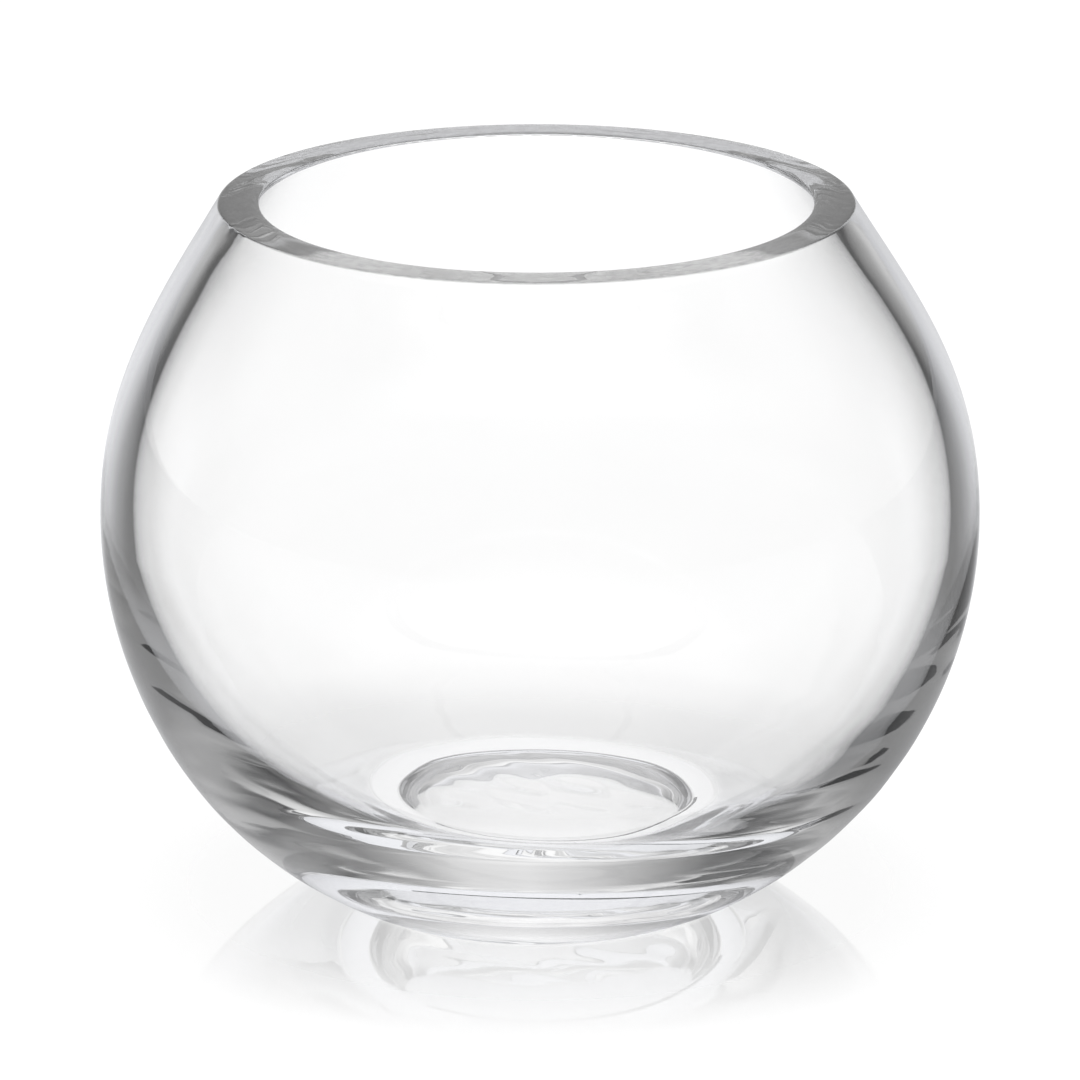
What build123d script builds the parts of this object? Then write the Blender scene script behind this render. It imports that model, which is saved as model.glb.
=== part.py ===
from build123d import *
import os
from math import cos, radians, sin

# Rose bowl vase, one piece of clear blown glass. It stands on the XY plane with its axis on Z and
# the origin at the middle of the foot. Lengths are in millimetres, angles in degrees.

# Outside of the bowl
body_diameter = 115.0  # at the belly, the widest place
belly_height = 50.6  # from the table to the widest place
overall_height = 92.8  # from the table to the flat rim
mouth_diameter = 82.4  # outer edge of the rim
shoulder_slope = 31.3  # lean of the wall at the rim, measured from upright
belly_fullness = 0.43  # share of the rise from belly to rim that the outline stays upright
shoulder_fullness = 0.37  # share of that rise that the outline keeps the shoulder slope
lower_fullness = 0.405  # share of the belly height that the outline stays upright below the belly
foot_slope = 24.7  # lean of the outline at the foot, measured from level
foot_fullness = 0.435  # share of the belly height that the outline keeps the foot slope

# Thickness of the glass
wall_thickness = 4.0  # at the belly
rim_width = 5.4  # across the flat ground rim
rim_edge_radius = 0.3  # both edges of the rim are rubbed round
base_thickness = 7.8  # between the recess under the foot and the inside bottom
bottom_flat_diameter = 33.0  # level middle of the inside bottom
bottom_fullness = 0.68  # share of the way from that middle to the wall that the inside keeps low
side_fullness = 0.42  # share of the depth below the belly that the inside stays upright

# Foot, with a shallow domed recess that leaves a narrow ring on the table
foot_diameter = 52.1  # where the belly would meet the table if its edge were sharp
foot_edge_radius = 1.8
foot_ring_width = 4.65  # from that sharp edge in to the recess
recess_depth = 3.0  # in the middle of its dome
recess_fullness = 0.61  # share of the recess radius over which the dome stays nearly level
recess_slope_width = 4.2  # how far in from its edge the dome keeps its slope
recess_edge_radius = 2.0

# Places that follow from the sizes
body_radius = body_diameter / 2
inner_radius = body_radius - wall_thickness
mouth_radius = mouth_diameter / 2
mouth_inner_radius = mouth_radius - rim_width
foot_radius = foot_diameter / 2
recess_radius = foot_radius - foot_ring_width
inside_bottom = recess_depth + base_thickness
bottom_flat_radius = bottom_flat_diameter / 2
rise = overall_height - belly_height


def shoulder_curve(belly_radius, rim_radius):
    """Outline from the belly up to the rim: upright at the belly, at the shoulder slope at the rim."""
    upright = belly_fullness * rise
    lean = shoulder_fullness * rise
    return Bezier(
        (belly_radius, belly_height),
        (belly_radius, belly_height + upright),
        (
            rim_radius + lean * sin(radians(shoulder_slope)),
            overall_height - lean * cos(radians(shoulder_slope)),
        ),
        (rim_radius, overall_height),
    )


def lower_curve():
    """Outline from the belly down to the foot: upright at the belly, at the foot slope at the table."""
    upright = lower_fullness * belly_height
    lean = foot_fullness * belly_height
    return Bezier(
        (body_radius, belly_height),
        (body_radius, belly_height - upright),
        (foot_radius + lean * cos(radians(foot_slope)), lean * sin(radians(foot_slope))),
        (foot_radius, 0),
    )


def inside_bottom_curve():
    """Inside outline from the level middle up to the belly: level at its start, upright at the belly."""
    depth = belly_height - inside_bottom
    reach = bottom_fullness * (inner_radius - bottom_flat_radius)
    return Bezier(
        (bottom_flat_radius, inside_bottom),
        (bottom_flat_radius + reach, inside_bottom),
        (inner_radius, belly_height - side_fullness * depth),
        (inner_radius, belly_height),
    )


def recess_curve():
    """Outline of the domed recess under the foot: level on the axis, sloping at its edge."""
    return Bezier(
        (0, recess_depth),
        (recess_fullness * recess_radius, recess_depth),
        (recess_radius - recess_slope_width, recess_depth),
        (recess_radius, 0),
    )


def rounded(face, corners, radius):
    """The face with the corners nearest to the given points rounded."""
    return fillet([face.vertices().sort_by_distance(corner)[0] for corner in corners], radius)


def glass_profile():
    """Half section of the bowl, right of its axis."""
    foot_edge = (foot_radius, 0)
    recess_edge = (recess_radius, 0)
    rim_outer = (mouth_radius, overall_height)
    rim_inner = (mouth_inner_radius, overall_height)

    outline = [
        recess_curve(),
        Line(recess_edge, foot_edge),
        lower_curve(),
        shoulder_curve(body_radius, mouth_radius),
        Line(rim_outer, rim_inner),
        shoulder_curve(inner_radius, mouth_inner_radius),
        inside_bottom_curve(),
        Line((bottom_flat_radius, inside_bottom), (0, inside_bottom)),
        Line((0, inside_bottom), (0, recess_depth)),
    ]
    face = make_face(outline)
    face = rounded(face, [rim_outer, rim_inner], rim_edge_radius)
    face = rounded(face, [recess_edge], recess_edge_radius)
    return rounded(face, [foot_edge], foot_edge_radius)


def glass_bowl():
    """The whole bowl, turned from its half section."""
    return revolve(Plane.XZ * glass_profile(), Axis.Z)


os.makedirs("parts", exist_ok=True)
export_step(glass_bowl(), "parts/glass_bowl.step")
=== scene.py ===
import math

import bpy
import numpy as np
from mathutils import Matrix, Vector


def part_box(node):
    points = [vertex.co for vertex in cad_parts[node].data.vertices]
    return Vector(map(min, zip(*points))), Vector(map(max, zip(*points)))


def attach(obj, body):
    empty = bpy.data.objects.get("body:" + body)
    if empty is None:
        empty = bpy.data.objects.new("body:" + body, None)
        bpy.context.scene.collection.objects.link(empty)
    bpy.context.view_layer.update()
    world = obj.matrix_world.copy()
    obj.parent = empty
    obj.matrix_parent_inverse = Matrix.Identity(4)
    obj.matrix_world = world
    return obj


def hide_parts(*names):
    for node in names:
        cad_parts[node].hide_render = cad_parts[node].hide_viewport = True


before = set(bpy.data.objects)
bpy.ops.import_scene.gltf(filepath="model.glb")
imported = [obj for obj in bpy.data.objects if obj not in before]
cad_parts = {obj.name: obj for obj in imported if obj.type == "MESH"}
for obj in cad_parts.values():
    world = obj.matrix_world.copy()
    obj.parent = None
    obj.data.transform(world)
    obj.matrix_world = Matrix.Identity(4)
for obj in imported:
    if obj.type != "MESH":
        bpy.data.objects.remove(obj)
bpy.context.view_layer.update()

mm = 0.001
bowlLow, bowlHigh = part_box("glass_bowl")
scene = bpy.context.scene
print("frame loaded, bowl is", round((bowlHigh.x - bowlLow.x) / mm, 1), "mm wide")


# a wire is one output socket; arithmetic on it adds Math nodes to its tree
class Wire:
    def __init__(self, tree, socket=None):
        self.tree = tree
        self.socket = socket

    # adds a node of this type: settings first, then the values or links of its inputs
    def node(self, kind, settings=None, inputs=None, output=0):
        made = self.tree.nodes.new(kind)
        for name, value in (settings or {}).items():
            if name == "stops":
                self.setStops(made.color_ramp, value)
            else:
                setattr(made, name, value)
        for name, value in (inputs or {}).items():
            if isinstance(value, Wire):
                self.tree.links.new(value.socket, made.inputs[name])
            else:
                made.inputs[name].default_value = value
        return Wire(self.tree, made.outputs[output] if made.outputs else None)

    # puts (place, colour) stops on a colour ramp
    def setStops(self, ramp, stops):
        while len(ramp.elements) < len(stops):
            ramp.elements.new(1.0)
        for element, (place, colour) in zip(ramp.elements, stops):
            element.position = place
            element.color = (*colour, 1)

    def maths(self, operation, *values):
        return self.node("ShaderNodeMath", {"operation": operation}, dict(enumerate(values)))

    def __add__(self, other):
        return self.maths("ADD", self, other)

    def __sub__(self, other):
        return self.maths("SUBTRACT", self, other)

    def __rsub__(self, other):
        return self.maths("SUBTRACT", other, self)

    def __mul__(self, other):
        return self.maths("MULTIPLY", self, other)

    def __truediv__(self, other):
        return self.maths("DIVIDE", self, other)

    def __pow__(self, other):
        return self.maths("POWER", self, other)

    __radd__ = __add__
    __rmul__ = __mul__

    def least(self, other):
        return self.maths("MINIMUM", self, other)

    def most(self, other):
        return self.maths("MAXIMUM", self, other)

    # 0 below low, 1 above high, smooth between
    def step(self, low, high):
        return self.node(
            "ShaderNodeMapRange",
            {"interpolation_type": "SMOOTHSTEP"},
            {"Value": self, "From Min": low, "From Max": high},
        )


# an empty node tree's wire, for a material or a world
def emptyTree(owner):
    owner.use_nodes = True
    owner.node_tree.nodes.clear()
    return Wire(owner.node_tree)


white = (1, 1, 1, 1)


# first where the factor is 0, second where it is 1
def blend(w, factor, first, second):
    return w.node("ShaderNodeMix", {"data_type": "RGBA"}, {0: factor, 6: first, 7: second}, 2)


# points of a cubic curve: the four control points weighed by their Bernstein polynomials
def cubicCurve(p0, p1, p2, p3, count):
    u = np.linspace(0, 1, count)[:, None]
    weights = [(1 - u) ** 3, 3 * u * (1 - u) ** 2, 3 * u**2 * (1 - u), u**3]
    return sum(w * np.array(p, float) for w, p in zip(weights, (p0, p1, p2, p3)))


# points between p0 and p1, closer together near both ends: u = (1 - cos(pi k)) / 2, ends left out
def straightRun(p0, p1, count):
    u = (1 - np.cos(np.linspace(0, np.pi, count + 2)[1:-1, None])) / 2
    return (1 - u) * np.array(p0, float) + u * np.array(p1, float)


# a corner cut back by its setback on both sides and bridged by a parabola from cut to cut;
# the setback may differ from angle to angle, so the result is rows by angles by (radius, height)
def roundCorner(before, corner, after, setback, count):
    before, corner, after = (np.array(p, float) for p in (before, corner, after))
    setback = np.atleast_1d(setback)[None, :, None]
    cutIn = corner + (before - corner) / np.linalg.norm(before - corner) * setback
    cutOut = corner + (after - corner) / np.linalg.norm(after - corner) * setback
    u = np.linspace(0, 1, count)[:, None, None]
    return (1 - u) ** 2 * cutIn + 2 * u * (1 - u) * corner + u**2 * cutOut


# 0 below low, 1 above high, 3 u^2 - 2 u^3 between
def smoothStep(value, low, high):
    u = np.clip((value - low) / (high - low), 0, 1)
    return u * u * (3 - 2 * u)


# sum of waves over the grid: height times share times cos(2 pi along / length + turn * angle + phase)
def waveSum(rng, along, angle, count, lengths, turns, height):
    spans = (lengths, (0, 2 * np.pi), (0.4, 1))
    length, phase, share = (rng.uniform(*span, (count, 1, 1)) for span in spans)
    turn = rng.integers(-turns, turns + 1, (count, 1, 1))
    return height * np.sum(share * np.cos(2 * np.pi * along / length + turn * angle + phase), 0)


# nicks along an edge: in each (middle, half width) window in degrees, the part of a rough wave
# round the edge, a sum of 14 cosines of 50 to 149 turns, that stands above its mean
def nickDepth(rng, angle, windows, depth):
    turns = rng.integers(50, 150, (14, 1))
    rough = np.sum(np.cos(turns * angle + rng.uniform(0, 2 * np.pi, (14, 1))), 0)
    middle, half = np.radians(np.array(windows, float)).T[:, :, None]
    apart = np.abs((angle - middle + np.pi) % (2 * np.pi) - np.pi)
    window = np.max(1 - smoothStep(apart, 0.6 * half, half), 0)
    return depth * window * np.clip(rough / 3, 0, 1)


bowl = {
    "bellyHeight": 50.6 * mm,
    "mouthRadius": 41.2 * mm,
    "shoulderSlope": math.radians(31.3),
    "bellyFullness": 0.43,
    "shoulderFullness": 0.37,
    "lowerFullness": 0.405,
    "footSlope": math.radians(24.7),
    "footFullness": 0.435,
    "wall": 4.0 * mm,
    "rimWidth": 5.4 * mm,
    "rimEdge": 0.26 * mm,
    "insideBottom": 10.8 * mm,
    "bottomFlat": 16.5 * mm,
    "bottomFullness": 0.68,
    "sideFullness": 0.42,
    "footRadius": 26.05 * mm,
    "footEdge": 0.4 * mm,
    "recessRadius": 21.4 * mm,
    "recessDepth": 3.0 * mm,
    "recessFullness": 0.61,
    "recessSlopeWidth": 4.2 * mm,
    "recessEdge": 0.45 * mm,
    "aroundCount": 448,
    # where the blowing left it uneven
    "seed": 11,
    "hollowShift": (0.2 * mm, -0.15 * mm),
    "bottomTilt": (-0.022, 0.03),  # the inside bottom falls to +X and -Y
    "recessShift": (0.35 * mm, -1.5 * mm),
    "rimShift": -0.45 * mm,
    "footShift": -0.25 * mm,
    "outerNicks": [(201, 9), (245, 6)],  # middle and half width in degrees
    "outerNickDepth": 0.3 * mm,
    "innerNicks": [(90, 80)],
    "innerNickDepth": 0.18 * mm,
    "rimShiftReach": 24 * mm,  # below the rim
    "footShiftHeights": (4 * mm, 34 * mm),
    "hollowShiftReach": 30 * mm,  # below the rim, where the hollow's shift starts to fade
    "rippleLengths": (5 * mm, 11 * mm),
    "rippleHeight": 0.008 * mm,
    "rippleFade": (12 * mm, 46 * mm),
    "swellLengths": (18 * mm, 50 * mm),
    "swellHeight": 0.012 * mm,
    "calmBelowRim": (8 * mm, 1 * mm),  # ripples and swell fade out here
    "rimWaveLengths": (5 * mm, 16 * mm),
    "rimWave": 0.003 * mm,
    "rimWaveBelow": (12 * mm, 5 * mm),  # and the rim's own fine waves fade in here
    "recessWaveCount": 6,
    "recessWaveLengths": (5 * mm, 12 * mm),
    "recessWave": 0.022 * mm,
    "recessWaveFade": (0.2 * mm, 1.6 * mm),
}


# the whole skin as rows by angles by (x, y, z): the half section from the axis under the foot, up the
# outside, over the rim and down the inside, then pushed along its normal by the waves, then shifted
# and tilted where the rim, the foot, the hollow and the recess lie off the axis
def bowlSkin():
    b = bowl
    rng = np.random.default_rng(b["seed"])
    angle = np.linspace(0, 2 * np.pi, b["aroundCount"], endpoint=False)
    outer = (bowlHigh.x - bowlLow.x) / 2
    inner = outer - b["wall"]
    top = bowlHigh.z
    belly = b["bellyHeight"]
    rise = top - belly
    lean = b["shoulderFullness"] * rise
    slope = (math.sin(b["shoulderSlope"]) * lean, -math.cos(b["shoulderSlope"]) * lean)
    footLean = b["footFullness"] * belly
    bottom = b["insideBottom"]
    depth = belly - bottom

    def shoulder(bellyRadius, rimRadius, count):
        return cubicCurve(
            (bellyRadius, belly),
            (bellyRadius, belly + b["bellyFullness"] * rise),
            (rimRadius + slope[0], top + slope[1]),
            (rimRadius, top),
            count,
        )

    recessFoot = (b["recessRadius"], 0)
    recess = cubicCurve(
        (0, b["recessDepth"]),
        (b["recessFullness"] * recessFoot[0], b["recessDepth"]),
        (recessFoot[0] - b["recessSlopeWidth"], b["recessDepth"]),
        recessFoot,
        34,
    )
    foot = (b["footRadius"], 0)
    lower = cubicCurve(
        foot,
        (foot[0] + footLean * math.cos(b["footSlope"]), footLean * math.sin(b["footSlope"])),
        (outer, belly - b["lowerFullness"] * belly),
        (outer, belly),
        46,
    )
    upper = shoulder(outer, b["mouthRadius"], 28)
    lining = shoulder(inner, b["mouthRadius"] - b["rimWidth"], 26)[::-1]
    flat = b["bottomFlat"]
    basin = cubicCurve(
        (inner, belly),
        (inner, belly - b["sideFullness"] * depth),
        (flat + b["bottomFullness"] * (inner - flat), bottom),
        (flat, bottom),
        46,
    )
    outerEdge = b["rimEdge"] + nickDepth(rng, angle, b["outerNicks"], b["outerNickDepth"])
    innerEdge = b["rimEdge"] + nickDepth(rng, angle, b["innerNicks"], b["innerNickDepth"])

    # each stretch: its points, its share of the recess shift, of the hollow shift and of the ripples
    stretches = [
        (recess[:-2], 1, 0, 0),
        (roundCorner(recess[-2], recessFoot, foot, b["recessEdge"], 6), 1, 0, 0),
        (straightRun(recessFoot, foot, 6)[1:-1], 0.3, 0, 0),
        (roundCorner(recessFoot, foot, lower[1], b["footEdge"], 6), 0, 0, 0),
        (lower[1:-1], 0, 0, 1),
        (upper[:-1], 0, 0, 1),
        (roundCorner(upper[-2], upper[-1], lining[0], outerEdge, 6), 0, 0, 0),
        (straightRun(upper[-1], lining[0], 8)[2:-2], 0, 0, 0),
        (roundCorner(upper[-1], lining[0], lining[1], innerEdge, 6), 0, 1, 0),
        (lining[1:-1], 0, 1, 1),
        (basin, 0, 1, 1),
        (straightRun((flat, bottom), (0, bottom), 7), 0, 1, 1),
        (np.array([(0, bottom)], float), 0, 1, 1),
    ]

    def rows(points):
        points = points if points.ndim == 3 else points[:, None]
        return np.broadcast_to(points, (len(points), len(angle), 2))

    skin = np.concatenate([rows(s[0]) for s in stretches])
    counts = [len(s[0]) for s in stretches]
    inRecess, inHollow, rippled = (np.repeat([s[k] for s in stretches], counts)[:, None] for k in (1, 2, 3))

    # ripples run round the bowl, strongest low down where the glass is thick, and fine waves below the rim
    forward = np.gradient(skin.mean(1), axis=0)
    forward /= np.linalg.norm(forward, axis=1)[:, None]
    along = np.concatenate([[0], np.cumsum(np.linalg.norm(np.diff(skin.mean(1), axis=0), axis=1))])[:, None]
    height = skin[:, :, 1]
    low = 1 - smoothStep(height, *b["rippleFade"])
    clearOfRim = 1 - smoothStep(height, *(top - below for below in b["calmBelowRim"]))
    ripple = waveSum(rng, along, angle, 9, b["rippleLengths"], 3, b["rippleHeight"]) * low
    swell = waveSum(rng, along, angle, 9, b["swellLengths"], 4, b["swellHeight"]) * (0.3 + 0.7 * low)
    collar = smoothStep(height, *(top - below for below in b["rimWaveBelow"]))
    combed = waveSum(rng, along, angle, 10, b["rimWaveLengths"], 30, b["rimWave"]) * collar
    push = ((ripple + swell) * clearOfRim + combed) * rippled
    skin = skin + push[:, :, None] * np.stack([forward[:, 1], -forward[:, 0]], -1)[:, None]

    # each shift fades with height; the tilt grows from the belly down
    radius, height = skin[:, :, 0], skin[:, :, 1]
    atRim = smoothStep(height, top - b["rimShiftReach"], top)
    atFoot = (1 - smoothStep(height, *b["footShiftHeights"])) * (1 - inRecess) * (1 - inHollow)
    off = inHollow * (1 - smoothStep(height, top - b["hollowShiftReach"], top))
    x = radius * np.cos(angle) + off * b["hollowShift"][0] + inRecess * b["recessShift"][0]
    x = x + atRim * b["rimShift"] + atFoot * b["footShift"]
    y = radius * np.sin(angle) + off * b["hollowShift"][1] + inRecess * b["recessShift"][1]
    below = inHollow * np.clip((belly - height) / depth, 0, 1)
    z = height + below * (b["bottomTilt"][0] * x + b["bottomTilt"][1] * y)

    # the face of the recess is uneven
    uneven = inRecess * smoothStep(height, *b["recessWaveFade"])
    for _ in range(b["recessWaveCount"]):
        heading, phase = rng.uniform(0, 2 * np.pi, 2)
        length = rng.uniform(*b["recessWaveLengths"])
        z = z + uneven * b["recessWave"] * np.cos(
            2 * np.pi * (x * np.cos(heading) + y * np.sin(heading)) / length + phase
        )
    return np.stack([x, y, z], -1)


# closes a skin whose first and last rows are single points: quads between rows, fans at the poles
def skinMesh(name, skin):
    rowCount, count = len(skin) - 2, skin.shape[1]
    points = np.vstack([skin[1:-1].reshape(-1, 3), skin[0].mean(0), skin[-1].mean(0)])
    index = np.arange(rowCount * count).reshape(rowCount, count)
    right = np.roll(index, -1, 1)
    quads = np.stack([index[:-1], right[:-1], right[1:], index[1:]], -1).reshape(-1, 4)
    low = np.full(count, rowCount * count)
    lowFan = np.stack([low, right[0], index[0]], -1)
    highFan = np.stack([low + 1, index[-1], right[-1]], -1)
    corners = np.concatenate([quads.ravel(), lowFan.ravel(), highFan.ravel()])
    sizes = np.concatenate([np.full(len(quads), 4), np.full(2 * count, 3)])

    mesh = bpy.data.meshes.new(name)
    mesh.vertices.add(len(points))
    mesh.vertices.foreach_set("co", points.ravel())
    mesh.loops.add(len(corners))
    mesh.loops.foreach_set("vertex_index", corners)
    mesh.polygons.add(len(sizes))
    mesh.polygons.foreach_set("loop_start", np.concatenate([[0], np.cumsum(sizes)[:-1]]))
    mesh.polygons.foreach_set("use_smooth", np.ones(len(sizes), bool))
    mesh.update(calc_edges=True)
    mesh.validate()
    piece = bpy.data.objects.new(name, mesh)
    scene.collection.objects.link(piece)
    return piece


glass = {
    "refraction": 1.5,
    # painted shade on the ground rim: a dark and a light grey that darken the glass there
    "rimPaintedShades": (0.2, 0.34),
    "rimGrain": (26.0, 1400.0),  # round the rim and across it
    "rimFade": (0.25 * mm, 0.02 * mm),  # below the top
}


# clear glass; the ground rim, found by its height, gets a painted grey shade, streaked along the grain of
# the grinding round it
def clearGlass():
    g = glass
    material = bpy.data.materials.new("clearGlass")
    w = emptyTree(material)
    place = w.node("ShaderNodeTexCoord", None, None, "Object")
    x, y, height = (w.node("ShaderNodeSeparateXYZ", None, {0: place}, axis) for axis in "XYZ")
    rim = height.step(*(bowlHigh.z - below for below in g["rimFade"]))
    turn = w.maths("ARCTAN2", y, x) * g["rimGrain"][0]
    across = (x * x + y * y) ** 0.5 * g["rimGrain"][1]
    grainPlace = w.node("ShaderNodeCombineXYZ", None, {0: turn, 1: across})
    grain = w.node("ShaderNodeTexNoise", None, {"Vector": grainPlace, "Scale": 1.0, "Detail": 3.0})
    # the rim's painted shade: the two greys mixed along the grinding grain
    dark, light = ((grey, grey, grey, 1) for grey in g["rimPaintedShades"])
    tint = blend(w, rim, white, blend(w, grain.step(0.3, 0.7), dark, light))
    shader = w.node(
        "ShaderNodeBsdfPrincipled",
        None,
        {
            "Base Color": tint,
            "Roughness": 0.0,
            "IOR": g["refraction"],
            "Transmission Weight": 1.0,
        },
    )
    w.node("ShaderNodeOutputMaterial", None, {"Surface": shader})
    return material


bowlPiece = skinMesh("rose_bowl_glass", bowlSkin())
bowlPiece.data.materials.append(clearGlass())
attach(bowlPiece, "root")
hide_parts("glass_bowl")
print("bowl made,", len(bowlPiece.data.polygons), "faces")


studio = {
    # levels met by light that turned back in the glass: degrees away from the backdrop, left below 0, and
    # grey; most come from a least squares fit to how bright the glass is in the photo
    "lowStops": [
        (-180, 0.32), (-150, 0.2), (-92, 0.2), (-52, 0.78), (-40, 0.03), (-33, 0.07), (-27, 0.45),
        (-21, 0.67), (-8, 0.93), (0, 1.0), (8, 0.91), (15, 0.61), (21, 0.66), (27, 0.3), (33, 0.0),
        (40, 0.23), (68, 0.44), (80, 0.46), (92, 0.36), (104, 0.2), (130, 0.2), (150, 0.3), (180, 0.32),
    ],
    "midStops": [
        (-180, 0.2), (-112, 0.2), (-90, 0.31), (-80, 0.43), (-70, 0.2), (-50, 0.01), (-36, 0.03),
        (-12, 0.56), (0, 0.73), (12, 0.66), (24, 0.3), (36, 0.1), (50, 0.16), (60, 0.0), (70, 0.08),
        (80, 0.3), (90, 0.33), (100, 0.31), (112, 0.2), (180, 0.2),
    ],
    "highStops": [(-180, 1.0), (-100, 1.0), (-50, 0.9), (0, 1.0), (50, 0.9), (100, 1.0), (180, 1.0)],
    "midFade": (0.09, 0.37),  # where the low levels give way to the middle ones, as the sine of the height
    "highFade": (0.64, 0.87),
    # painted light and shade on the floor, met only by light that turned back in the glass: far out, round
    # the foot, and a painted shadow under it
    "floorStops": [
        (-180, 0.3), (-90, 0.3), (-60, 0.0), (-40, 0.0), (-30, 0.22), (-20, 0.85), (-10, 0.57), (0, 0.19),
        (10, 0.54), (20, 0.75), (30, 0.2), (40, 0.0), (60, 0.17), (90, 0.3), (180, 0.3),
    ],
    "besideStops": [
        (-180, 1.0), (-140, 0.8), (-75, 0.31), (-25, 0.75), (0, 0.82), (25, 0.38), (100, 0.16), (140, 0.8),
        (180, 1.0),
    ],
    "floorPaintedShadow": 0.95,
    "floorFrom": 0.06,  # the far levels turn about a point this far in front
    "besideFade": (0.022, 0.032),
    "farFade": (0.07, 0.15),
    "floorTint": (0.955, 0.965, 1.0),
    "floorSize": 8.0,
    "floorGloss": 0.45,
    "floorRough": 0.04,
    "glossFade": (0.028, 0.068),
    "glossFrom": (0.0252, 0.0275),  # under the foot the floor is duller
    "glossLoss": 0.85,
    "floorShadowShare": 0.12,
    "floorGrey": 0.9,
    "lampPower": 14.0,
    "lampSize": 0.8,
    "lampPlace": (0, 0.1, 1.0),
}


# 1 for light that has turned back at the glass, 0 for light that went straight through
def turnedBack(w):
    glossy = w.node("ShaderNodeLightPath", None, None, "Glossy Depth")
    through = w.node("ShaderNodeLightPath", None, None, "Transmission Depth")
    sharp = w.node("ShaderNodeLightPath", None, None, "Is Singular Ray")
    return glossy.least(1.0) * through.least(1.0).most(sharp)


# colour of the studio round the bowl, by the angle away from the backdrop
def aroundColour(w, x, y, stops, tint=(1, 1, 1)):
    turn = w.maths("ARCTAN2", x, y) / (2 * math.pi) + 0.5
    colours = [(place / 360 + 0.5, [level * share for share in tint]) for place, level in stops]
    return w.node("ShaderNodeValToRGB", {"stops": colours}, {"Fac": turn})


# white for what looks straight at the studio, and the fitted levels for light that turned back
def studioWorld():
    s = studio
    world = bpy.data.worlds.new("studio")
    scene.world = world
    w = emptyTree(world)
    direction = w.node("ShaderNodeTexCoord", None, None, "Generated")
    x, y, z = (w.node("ShaderNodeSeparateXYZ", None, {0: direction}, axis) for axis in "XYZ")
    low, mid, high = (aroundColour(w, x, y, s[name]) for name in ("lowStops", "midStops", "highStops"))
    around = blend(w, z.step(*s["highFade"]), blend(w, z.step(*s["midFade"]), low, mid), high)
    seen = blend(w, turnedBack(w), white, around)
    backdrop = w.node("ShaderNodeBackground", None, {"Color": seen, "Strength": 1.0})
    w.node("ShaderNodeOutputWorld", None, {"Surface": backdrop})


# white seen straight, painted light and shade for light that turned back in the glass, with a share of
# matte for the shadow and a gloss near the foot that mirrors the bowl
def paleFloor():
    s = studio
    half = s["floorSize"] / 2
    mesh = bpy.data.meshes.new("pale_floor")
    corners = [(-half, -half, 0), (half, -half, 0), (half, half, 0), (-half, half, 0)]
    mesh.from_pydata(corners, [], [(0, 1, 2, 3)])
    floor = bpy.data.objects.new("pale_floor", mesh)
    scene.collection.objects.link(floor)
    material = bpy.data.materials.new("paleFloor")
    w = emptyTree(material)
    place = w.node("ShaderNodeTexCoord", None, None, "Object")
    x, y = (w.node("ShaderNodeSeparateXYZ", None, {0: place}, axis) for axis in "XY")
    away = (x * x + y * y) ** 0.5
    far = aroundColour(w, x, y + s["floorFrom"], s["floorStops"], s["floorTint"])
    beside = aroundColour(w, x, y, s["besideStops"], s["floorTint"])
    # painted shadow under the bowl, and painted light and shade beside it and far out, met only by light
    # that turned back in the glass
    under = [s["floorPaintedShadow"] * share for share in s["floorTint"]] + [1]
    around = blend(w, away.step(*s["farFade"]), blend(w, away.step(*s["besideFade"]), under, beside), far)
    seen = blend(w, turnedBack(w), white, around)
    glow = w.node("ShaderNodeEmission", None, {"Color": seen, "Strength": 1.0})
    matte = w.node("ShaderNodeBsdfDiffuse", None, {"Color": (*[s["floorGrey"]] * 3, 1)})
    pale = w.node("ShaderNodeMixShader", None, {0: s["floorShadowShare"], 1: glow, 2: matte})
    gloss = w.node("ShaderNodeBsdfGlossy", None, {"Color": white, "Roughness": s["floorRough"]})
    underFoot = 1 - away.step(*s["glossFrom"])
    near = (1 - away.step(*s["glossFade"])) * (1 - underFoot * s["glossLoss"])
    shader = w.node("ShaderNodeMixShader", None, {0: near * s["floorGloss"], 1: pale, 2: gloss})
    w.node("ShaderNodeOutputMaterial", None, {"Surface": shader})
    floor.data.materials.append(material)


# one soft square lamp above, which the glass doesn't mirror
def overheadLamp():
    s = studio
    lamp = bpy.data.lights.new("overhead", "AREA")
    lamp.shape = "SQUARE"
    lamp.size = s["lampSize"]
    lamp.energy = s["lampPower"]
    holder = bpy.data.objects.new("overhead", lamp)
    holder.location = s["lampPlace"]
    holder.visible_glossy = False
    holder.visible_transmission = False
    scene.collection.objects.link(holder)


studioWorld()
paleFloor()
overheadLamp()
print("studio lit")


photo = {
    "imageSize": 1080,
    "focalPixels": 7898,
    "sensor": 36.0,
    "elevation": math.radians(16.94),
    "distance": 1.035,
    "aimHeight": 46.89 * mm,
}


# a long lens that looks down at the aim point from in front
def photoCamera():
    p = photo
    lens = bpy.data.cameras.new("photo")
    lens.sensor_width = p["sensor"]
    lens.lens = p["focalPixels"] / p["imageSize"] * p["sensor"]
    lens.clip_end = 50
    camera = bpy.data.objects.new("photo", lens)
    aim = Vector((0, 0, p["aimHeight"]))
    back = Vector((0, -math.cos(p["elevation"]), math.sin(p["elevation"])))
    camera.location = aim + back * p["distance"]
    camera.rotation_euler = (-back).to_track_quat("-Z", "Y").to_euler()
    scene.collection.objects.link(camera)
    scene.camera = camera


photoCamera()
scene.view_settings.view_transform = "Standard"
scene.cycles.max_bounces = 32
scene.cycles.glossy_bounces = 32
scene.cycles.transmission_bounces = 32
